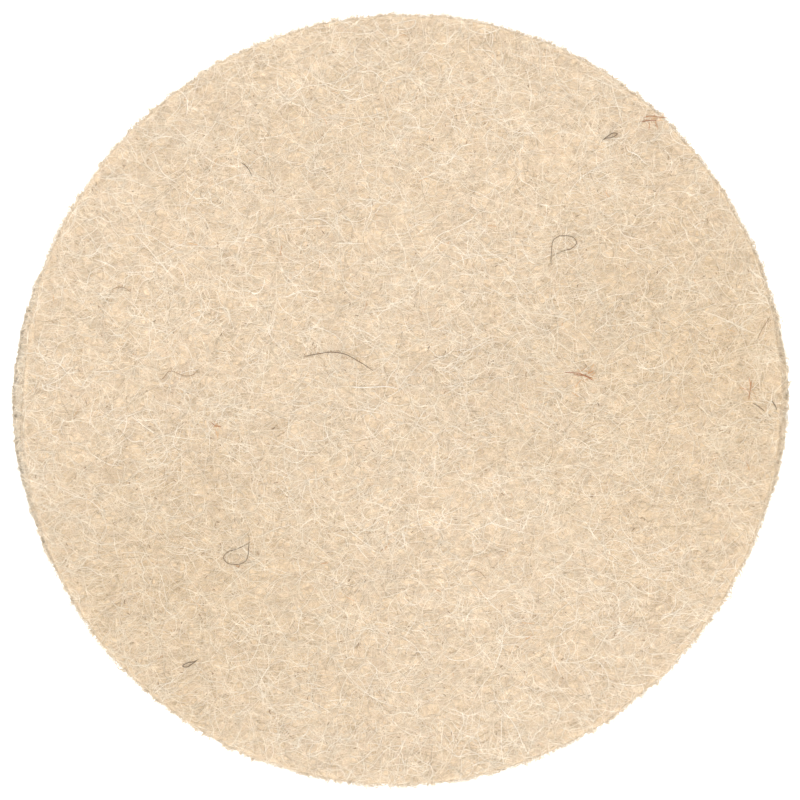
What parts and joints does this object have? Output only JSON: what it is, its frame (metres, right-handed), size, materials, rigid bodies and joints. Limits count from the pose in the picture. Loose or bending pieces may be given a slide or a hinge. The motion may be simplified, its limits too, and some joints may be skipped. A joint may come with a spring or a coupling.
{
  "type": "felt polishing disc",
  "caption": "Flat round pressed wool felt polishing disc with a loop backing cloth, held by its back on a hook-faced plate.",
  "frame": {"origin": "centre of the disc's back, on the plane where the loop backing meets its face plate or a bench", "axes": "+Z out of the polishing face along the disc's axis; X and Y lie in the disc and are equivalent"},
  "size_m": [0.15, 0.15, 0.008],
  "materials": {
    "pressed_felt": "matte",
    "melt_film": "satin",
    "loop_cloth": "matte"
  },
  "bodies": {
    "root": {"felt_disc": "pressed_felt", "bonding_film": "melt_film", "loop_backing": "loop_cloth"}
  },
  "joints": []
}
